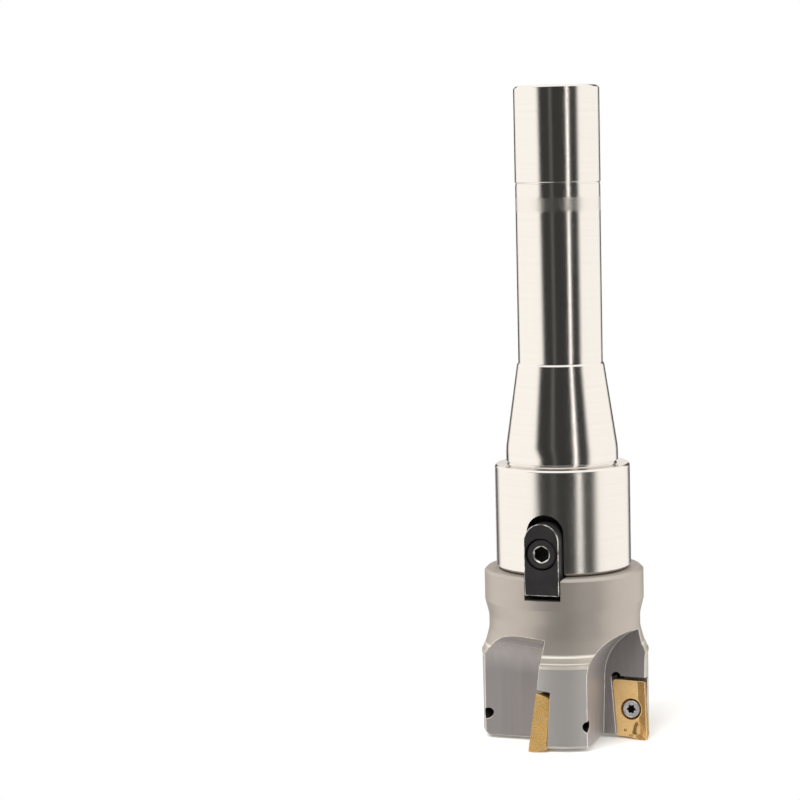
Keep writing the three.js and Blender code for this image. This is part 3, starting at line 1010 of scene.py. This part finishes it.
class Graph:
    """A material's node tree, with short ways to add nodes."""

    def __init__(self, name, metallic=1.0, roughness=0.3):
        self.material = bpy.data.materials.new(name)
        self.material.use_nodes = True
        self.tree = self.material.node_tree
        self.shader = self.tree.nodes["Principled BSDF"]
        self.shader.inputs["Metallic"].default_value = metallic
        self.shader.inputs["Roughness"].default_value = roughness
        self.coords = self.tree.nodes.new("ShaderNodeTexCoord").outputs["Object"]
        self.split = self.tree.nodes.new("ShaderNodeSeparateXYZ")
        self.tree.links.new(self.coords, self.split.inputs[0])

    def add(self, kind, inputs=None, **settings):
        return add_node(self.tree, kind, inputs, **settings)

    def maths(self, operation, a, b):
        return self.add("ShaderNodeMath", {0: a, 1: b}, operation=operation).outputs[0]

    def noise(self, scale, detail=3.0, stretch=(1, 1, 1), roughness=0.55):
        """Noise over the object, stretched along its axes; scale is in features per metre."""
        scales = [scale * share for share in stretch]
        mapping = self.add("ShaderNodeMapping", {"Vector": self.coords, "Scale": scales})
        values = {"Vector": mapping.outputs[0], "Scale": 1.0, "Detail": detail, "Roughness": roughness}
        return self.add("ShaderNodeTexNoise", values).outputs["Fac"]

    def rings(self, scale, detail=4.0):
        """Turned lines: noise that only changes with height, in features per metre."""
        height = self.maths("MULTIPLY", self.split.outputs["Z"], scale)
        values = {"W": height, "Scale": 1.0, "Detail": detail, "Roughness": 0.7}
        return self.add("ShaderNodeTexNoise", values, noise_dimensions="1D").outputs["Fac"]

    def ranged(self, value, low, high, from_low=0.3, from_high=0.7):
        span = {"From Min": from_low, "From Max": from_high, "To Min": low, "To Max": high}
        return self.add("ShaderNodeMapRange", {"Value": value, **span}).outputs[0]

    def band(self, low, high, soft=0.0004):
        """1 between two heights in metres and 0 elsewhere."""
        z = self.split.outputs["Z"]
        rise = self.ranged(z, 0.0, 1.0, low - soft, low + soft)
        fall = self.ranged(z, 1.0, 0.0, high - soft, high + soft)
        return self.maths("MULTIPLY", rise, fall)

    def ramp(self, value, *stops):
        node = self.add("ShaderNodeValToRGB", {"Fac": value})
        set_stops(node, stops)
        return node.outputs["Color"]

    def mix(self, factor, a, b):
        """Goes from colour a, a socket, to colour b as the factor goes from 0 to 1."""
        return self.add("ShaderNodeMix", {0: factor, 6: a, 7: (*b, 1)}, data_type="RGBA").outputs[2]

    def bump(self, height, strength, distance, normal=None):
        inputs = {"Height": height, "Strength": strength, "Distance": distance}
        if normal:
            inputs["Normal"] = normal
        return self.add("ShaderNodeBump", inputs).outputs[0]

    def link(self, output, name):
        self.tree.links.new(output, self.shader.inputs[name])

    def colour(self, value, low, dark, high, light):
        """A base colour that goes from dark to light as a value goes from low to high."""
        self.link(self.ramp(value, (low, dark), (high, light)), "Base Color")


def turned_tangent(graph, anisotropy):
    tangent = graph.add("ShaderNodeTangent", direction_type="RADIAL", axis="Z")
    graph.link(tangent.outputs[0], "Tangent")
    graph.shader.inputs["Anisotropic"].default_value = anisotropy


def ground_steel():
    """Turned and ground bright steel: fine rings, faint smears and a rubbed band below the shank's step."""
    g = Graph("ground_steel")
    fine = g.rings(9000, 3)
    coarse = g.rings(900, 4)
    smear = g.noise(60, 4, (1, 1, 0.25))
    machined = g.band((SHANK_STEP_Z - 8.2) * MM, (SHANK_STEP_Z - 4.2) * MM)
    dull, middle, bright = (0.895, 0.875, 0.85), (0.91, 0.89, 0.865), (0.92, 0.90, 0.88)
    marks = g.ramp(coarse, (0.3, dull), (0.5, middle), (0.7, bright))
    smeared = g.mix(g.ranged(smear, 0.0, 0.3), marks, (0.88, 0.85, 0.81))
    g.link(g.mix(g.maths("MULTIPLY", machined, 0.45), smeared, (0.93, 0.90, 0.85)), "Base Color")
    flange = g.band((SEAT_Z - 1) * MM, (FLANGE_TOP - 0.2) * MM)
    rough = g.ranged(g.rings(3000, 3), 0.10, 0.15)
    rough = g.maths("ADD", rough, g.maths("MULTIPLY", machined, 0.12))
    rough = g.maths("ADD", rough, g.maths("MULTIPLY", flange, 0.05))
    g.link(g.maths("ADD", rough, g.ranged(smear, -0.02, 0.03)), "Roughness")
    streaks = g.noise(1500, 3, (1, 1, 5))
    rubbed = g.maths("MULTIPLY", machined, g.noise(500, 4, (1, 1, 5)))
    wide = g.bump(rubbed, 0.5, 0.00004, g.bump(coarse, 0.012, 0.00004))
    wide = g.bump(streaks, 0.8, 0.000012, wide)
    g.link(g.bump(fine, 0.22, 0.00002, wide), "Normal")
    turned_tangent(g, 0.45)
    return g.material


def worn_steel():
    """The broken edges of the bright steel."""
    g = Graph("worn_steel")
    g.colour(g.noise(500), 0.35, (0.74, 0.71, 0.67), 0.65, (0.88, 0.86, 0.82))
    g.link(g.ranged(g.noise(900), 0.16, 0.3), "Roughness")
    return g.material


def satin_nickel():
    """Matt nickel over a milled and turned body."""
    g = Graph("satin_nickel", metallic=0.78)
    grain = g.noise(3500, 5)
    cloud = g.noise(70, 3)
    lines = g.rings(2600, 3)
    base = g.ramp(cloud, (0.3, (0.51, 0.465, 0.42)), (0.7, (0.55, 0.505, 0.46)))
    worked = g.mix(g.ranged(grain, 0.0, 0.25), base, (0.46, 0.42, 0.38))
    # Below the ridge the body is painted lighter: a painted highlight on the land.
    g.link(g.mix(g.band(0.0, (RIDGE_Z - 1.3) * MM), worked, (0.66, 0.635, 0.615)), "Base Color")
    g.link(g.maths("ADD", g.ranged(grain, 0.42, 0.52), g.ranged(cloud, -0.03, 0.03)), "Roughness")
    turned = g.bump(lines, 0.10, 0.00003)
    g.link(g.bump(grain, 0.16, 0.00003, turned), "Normal")
    return g.material


def milled_nickel():
    """The same coating over the milled gullets, cooler and with cutter marks along them."""
    g = Graph("milled_nickel", metallic=0.65)
    marks = g.noise(700, 3, (1, 1, 0.04))
    grain = g.noise(3500, 4)
    base = g.ramp(marks, (0.3, (0.40, 0.375, 0.375)), (0.7, (0.445, 0.42, 0.415)))
    g.link(g.mix(g.ranged(grain, 0.0, 0.2), base, (0.36, 0.335, 0.34)), "Base Color")
    g.link(g.ranged(grain, 0.38, 0.5), "Roughness")
    g.link(g.bump(marks, 0.12, 0.00004), "Normal")
    return g.material


def turned_nickel_and_highlight():
    """The turned bands above and below the ridge, painted lighter than the body: partly turned finish,
    partly painted highlight.
    """
    g = Graph("turned_nickel_and_highlight", metallic=0.6)
    facet = g.ramp(g.rings(2200, 3), (0.35, (0.56, 0.51, 0.44)), (0.65, (0.62, 0.57, 0.50)))
    # Two thin lines at the ridge's edges are painted brightest: painted highlight.
    low = g.band((RIDGE_Z - 1.3) * MM, (RIDGE_Z - 0.2) * MM, 0.0002)
    high = g.band((RIDGE_Z + 1.9) * MM, (RIDGE_Z + 2.6) * MM, 0.0002)
    g.link(g.mix(g.maths("ADD", low, high), facet, (0.80, 0.76, 0.68)), "Base Color")
    g.link(g.ranged(g.noise(900), 0.3, 0.4), "Roughness")
    return g.material


def worn_nickel_and_highlight():
    """The nickel's broken edges, painted lighter: partly wear, partly a painted highlight on the edges."""
    g = Graph("worn_nickel_and_highlight", metallic=0.35)
    g.colour(g.noise(400, 4), 0.35, (0.58, 0.54, 0.49), 0.65, (0.76, 0.72, 0.66))
    g.link(g.ranged(g.noise(900), 0.25, 0.38), "Roughness")
    return g.material


def black_oxide():
    """Blackened steel of the keys and cap screws."""
    g = Graph("black_oxide", metallic=0.55)
    grain = g.noise(2500, 4)
    g.colour(g.noise(160, 4), 0.3, (0.030, 0.027, 0.030), 0.7, (0.052, 0.047, 0.050))
    g.link(g.ranged(grain, 0.30, 0.42), "Roughness")
    g.link(g.bump(grain, 0.15, 0.00002), "Normal")
    return g.material


def worn_oxide_and_highlight():
    """Edges where the black has worn through, painted light: partly wear, partly a painted highlight."""
    g = Graph("worn_oxide_and_highlight", metallic=0.2)
    g.colour(g.noise(600, 4), 0.4, (0.10, 0.095, 0.095), 0.6, (0.66, 0.63, 0.61))
    g.link(g.ranged(g.noise(900), 0.22, 0.34), "Roughness")
    return g.material


def painted_shade_bore(name, metallic):
    """Painted shade: the dull inside of a narrow slot or drilled hole, painted near-black where shade
    falls.
    """
    g = Graph(name, metallic, 0.6)
    g.colour(g.noise(700, 3), 0.3, (0.012, 0.011, 0.011), 0.7, (0.030, 0.028, 0.027))
    g.link(g.bump(g.noise(3000, 3), 0.2, 0.00003), "Normal")
    return g.material


def gold_coating(name, metallic, shade):
    """A coating over sintered carbide: fine grain, with the colour drifting a little round its shade."""
    g = Graph(name, metallic)
    grain = g.noise(6000, 3)
    drift = g.noise(260, 3)
    dull, bright = (tuple(level * share for level in shade) for share in (0.86, 1.0))
    base = g.ramp(drift, (0.3, dull), (0.7, bright))
    g.link(g.mix(g.ranged(grain, 0.0, 0.08), base, tuple(0.8 * level for level in shade)), "Base Color")
    g.link(g.ranged(grain, 0.22, 0.32), "Roughness")
    g.link(g.bump(grain, 0.05, 0.00001), "Normal")
    return g.material


def bright_screw():
    """Plain steel of the insert screws."""
    g = Graph("bright_screw", metallic=0.55)
    g.colour(g.noise(500, 3), 0.3, (0.62, 0.61, 0.60), 0.7, (0.80, 0.79, 0.78))
    g.link(g.ranged(g.noise(1500, 4), 0.18, 0.32), "Roughness")
    return g.material


# ---- the pieces, placed


def place(piece, body, node, slot):
    """Says which body a piece rides on and which CAD node it replaces; slot, the name of its finish, is not
    used.
    """
    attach(piece, body)
    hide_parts(node)


def assemble():
    """Builds every pattern once, places its copies and drops the patterns."""
    # The third material of the steel, the nickel and the black, and the insert screw's second, are
    # near-black painted shade for slots, holes and sockets.
    steel = [ground_steel(), worn_steel(), painted_shade_bore("milled_slot_painted_shade", 0.6)]
    drilled = painted_shade_bore("drilled_hole_painted_shade", 0.6)
    nickel = [satin_nickel(), worn_nickel_and_highlight(), drilled, milled_nickel(), turned_nickel_and_highlight()]
    black = [black_oxide(), worn_oxide_and_highlight(), painted_shade_bore("socket_recess_painted_shade", 0.5)]
    place(build_arbor(steel), "arbor", "arbor", "ground_steel")
    place(build_cutter(nickel), "cutter", "cutter_body", "satin_nickel")

    clamp = build_clamp_screw(black)
    key = build_key(black)
    key_screw = build_key_screw(black)
    # Copies of one coating: the rake face and honed edge are painted lighter as painted highlight; the chip
    # slope is more mirror-like and shows darker as painted shade.
    gold = [
        gold_coating("gold_coating", 0.55, (0.80, 0.50, 0.18)),
        gold_coating("gold_rake_face_painted_highlight", 0.25, (1.0, 0.66, 0.28)),
        gold_coating("gold_honed_edge_painted_highlight", 0.2, (1.0, 0.76, 0.40)),
        gold_coating("gold_chip_slope_painted_shade", 0.8, (0.82, 0.50, 0.19)),
    ]
    insert = build_insert(gold)
    insert_screw = build_insert_screw([bright_screw(), painted_shade_bore("screw_recess_painted_shade", 0.6)])

    def add(pattern, body, matrix, slot):
        place(copy_to(pattern, f"{body}_finished", matrix), body, body, slot)

    add(clamp, "clamp_screw", screw_frame("clamp_screw_turn"), "black_oxide")
    for side in (-1, 1):
        index = key_index(side)
        add(key, f"drive_key_{index}", side_frame(side), "black_oxide")
        add(key_screw, f"key_screw_{index}", screw_frame(key_screw_joint(side)), "black_oxide")
    for index in range(1, TEETH + 1):
        add(insert, f"insert_{index}", insert_frame(index), "gold_coating")
        screw = f"insert_screw_{index}"
        add(insert_screw, screw, screw_frame(f"{screw}_turn"), "bright_screw")
    discard(clamp, key, key_screw, insert, insert_screw)


# ---- floor, light and camera


FLOOR_RADIUS = 1.2  # metres, like the fade
FLOOR_FADE = (0.03, 0.09)


def build_floor():
    """A white disc that fades into the white surroundings, so that it has no edge."""
    bm = bmesh.new()
    rings = [[bm.verts.new((0, 0, 0))]]
    for share in (0.06, 0.14, 0.28, 0.5, 1.0):
        outline = arc((0, 0), FLOOR_RADIUS * share, 0, 357.5, 143)
        rings.append([bm.verts.new((x, y, 0)) for x, y in outline])
    for inner, outer in zip(rings, rings[1:]):
        bridge(bm, outer, inner)
    bmesh.ops.recalc_face_normals(bm, faces=bm.faces)
    floor = work(bm)
    floor.name = floor.data.name = "floor"
    g = Graph("pale_floor", 0.0, 0.9)
    g.shader.inputs["Base Color"].default_value = (0.93, 0.93, 0.925, 1)
    g.shader.inputs["Specular IOR Level"].default_value = 0.1
    length = g.add("ShaderNodeVectorMath", {0: g.coords}, operation="LENGTH").outputs["Value"]
    fade = g.ranged(length, 0.0, 1.0, *FLOOR_FADE)
    glow = g.add("ShaderNodeEmission", {"Color": (1, 1, 1, 1), "Strength": 1.0})
    blend = g.add("ShaderNodeMixShader", {0: fade, 1: g.shader.outputs[0], 2: glow.outputs[0]})
    g.tree.links.new(blend.outputs[0], g.tree.nodes["Material Output"].inputs["Surface"])
    floor.data.materials.append(g.material)
    floor.visible_glossy = False


CREAM = (0.97, 0.93, 0.88)
OVERHEAD = (1.05, 1.03, 1.0)
CARD_SLANT = 0.65  # how far the dark card's left edge leans outwards as it rises
CARD = 0.042  # brightness of the dark card behind the camera, as the steel mirrors it
SLIT = 3.0  # bright slit in the card
SLIT_EDGE = 0.4
SEAM = 5 * CARD  # faint second line in the card
LEFT_PANEL = 1.08
RIGHT_PANEL = 1.06
FAR_PANEL = 0.9
FAR_CARD = 0.05

# What stands round the object: degrees to the right of the camera, and brightness.
SURROUNDINGS = (
    (-180, FAR_PANEL), (-170, FAR_PANEL), (-166, FAR_CARD), (-152, FAR_CARD),
    (-145, LEFT_PANEL), (-53, LEFT_PANEL), (-47, CARD), (-20, CARD), (-16.5, SEAM), (-13, CARD),
    (23, CARD), (26, SLIT_EDGE), (27.5, SLIT), (29, SLIT), (30.5, SLIT_EDGE), (34, CARD), (53, CARD),
    (61, RIGHT_PANEL), (145, RIGHT_PANEL),
    (152, FAR_CARD), (166, FAR_CARD), (170, FAR_PANEL), (180, FAR_PANEL),
)


def build_world():
    """White to the camera; to the steel, a dark card with a bright slit in it between pale panels."""
    world = bpy.data.worlds.new("studio")
    bpy.context.scene.world = world
    world.use_nodes = True
    tree = world.node_tree
    tree.nodes.clear()

    def add(kind, inputs=None, **settings):
        return add_node(tree, kind, inputs, **settings).outputs[0]

    def share_of(value, low, high):
        """0 up to the low value, 1 from the high one."""
        return add("ShaderNodeMapRange", {"Value": value, "From Min": low, "From Max": high})

    coords = add_node(tree, "ShaderNodeTexCoord").outputs["Generated"]
    facing = {"Vector": coords, "Angle": -CAMERA_HEADING}
    turn = add("ShaderNodeVectorRotate", facing, rotation_type="Z_AXIS")
    x, y, z = add_node(tree, "ShaderNodeSeparateXYZ", {0: turn}).outputs
    toward = add("ShaderNodeMath", {0: y, 1: -1.0}, operation="MULTIPLY")
    azimuth = add("ShaderNodeMath", {0: x, 1: toward}, operation="ARCTAN2")
    leftward = add("ShaderNodeMath", {0: azimuth, 1: -1.25}, operation="MULTIPLY", use_clamp=True)
    height = add("ShaderNodeMath", {0: z, 1: CARD_SLANT}, operation="MULTIPLY")
    slant = add("ShaderNodeMath", {0: leftward, 1: height, 2: azimuth}, operation="MULTIPLY_ADD")
    ramp = add_node(tree, "ShaderNodeValToRGB", {"Fac": share_of(slant, -math.pi, math.pi)})
    stops = [((angle + 180) / 360, [level * tint for tint in CREAM]) for angle, level in SURROUNDINGS]
    set_stops(ramp, stops)
    mix = {0: share_of(z, 0.6, 0.85), 6: ramp.outputs["Color"], 7: (*OVERHEAD, 1)}
    around = add_node(tree, "ShaderNodeMix", mix, data_type="RGBA").outputs[2]
    seen = add("ShaderNodeBackground", {"Color": (1, 1, 1, 1), "Strength": 1.0})
    lit = add("ShaderNodeBackground", {"Color": around, "Strength": 1.0})
    is_camera_ray = add_node(tree, "ShaderNodeLightPath").outputs["Is Camera Ray"]
    pick = add("ShaderNodeMixShader", {0: is_camera_ray, 1: lit, 2: seen})
    add_node(tree, "ShaderNodeOutputWorld", {"Surface": pick})


def soft_light(name, azimuth, elevation, distance, size, power):
    """A square area light that looks at the cutter, with its azimuth from the camera's in degrees."""
    angle = CAMERA_HEADING + math.radians(azimuth - 90)
    rise = math.radians(elevation)
    level = math.cos(rise)
    place = Vector((level * math.cos(angle), level * math.sin(angle), math.sin(rise))) * distance
    data = bpy.data.lights.new(name, "AREA")
    data.size = size
    data.energy = power
    light = bpy.data.objects.new(name, data)
    bpy.context.scene.collection.objects.link(light)
    light.location = place + Vector((0, 0, 0.05))
    light.rotation_euler = (-place).to_track_quat("-Z", "Y").to_euler()
    light.visible_glossy = False


def build_camera():
    """The camera looks a little down and past the spindle axis, and is rolled slightly."""
    forward = Vector((-math.sin(CAMERA_YAW), math.cos(CAMERA_YAW), -math.tan(CAMERA_PITCH))).normalized()
    level = Vector((math.cos(CAMERA_YAW), math.sin(CAMERA_YAW), 0))
    upright = level.cross(forward)
    right = level * math.cos(CAMERA_ROLL) - upright * math.sin(CAMERA_ROLL)
    up = level * math.sin(CAMERA_ROLL) + upright * math.cos(CAMERA_ROLL)
    stand = frame_at(right, up, -forward, (0, -CAMERA_DISTANCE, CAMERA_HEIGHT))
    data = bpy.data.cameras.new("camera")
    data.lens = CAMERA_LENS
    data.sensor_width = SENSOR_WIDTH
    camera = bpy.data.objects.new("camera", data)
    bpy.context.scene.collection.objects.link(camera)
    camera.matrix_world = Matrix.Rotation(CAMERA_HEADING, 4, "Z") @ stand
    bpy.context.scene.camera = camera


assemble()
build_floor()
build_world()
soft_light("key_light", azimuth=-38, elevation=48, distance=1.2, size=0.9, power=15)
soft_light("fill_light", azimuth=60, elevation=25, distance=1.2, size=0.6, power=7)
build_camera()
bpy.context.scene.view_settings.view_transform = "Standard"
bpy.context.view_layer.update()
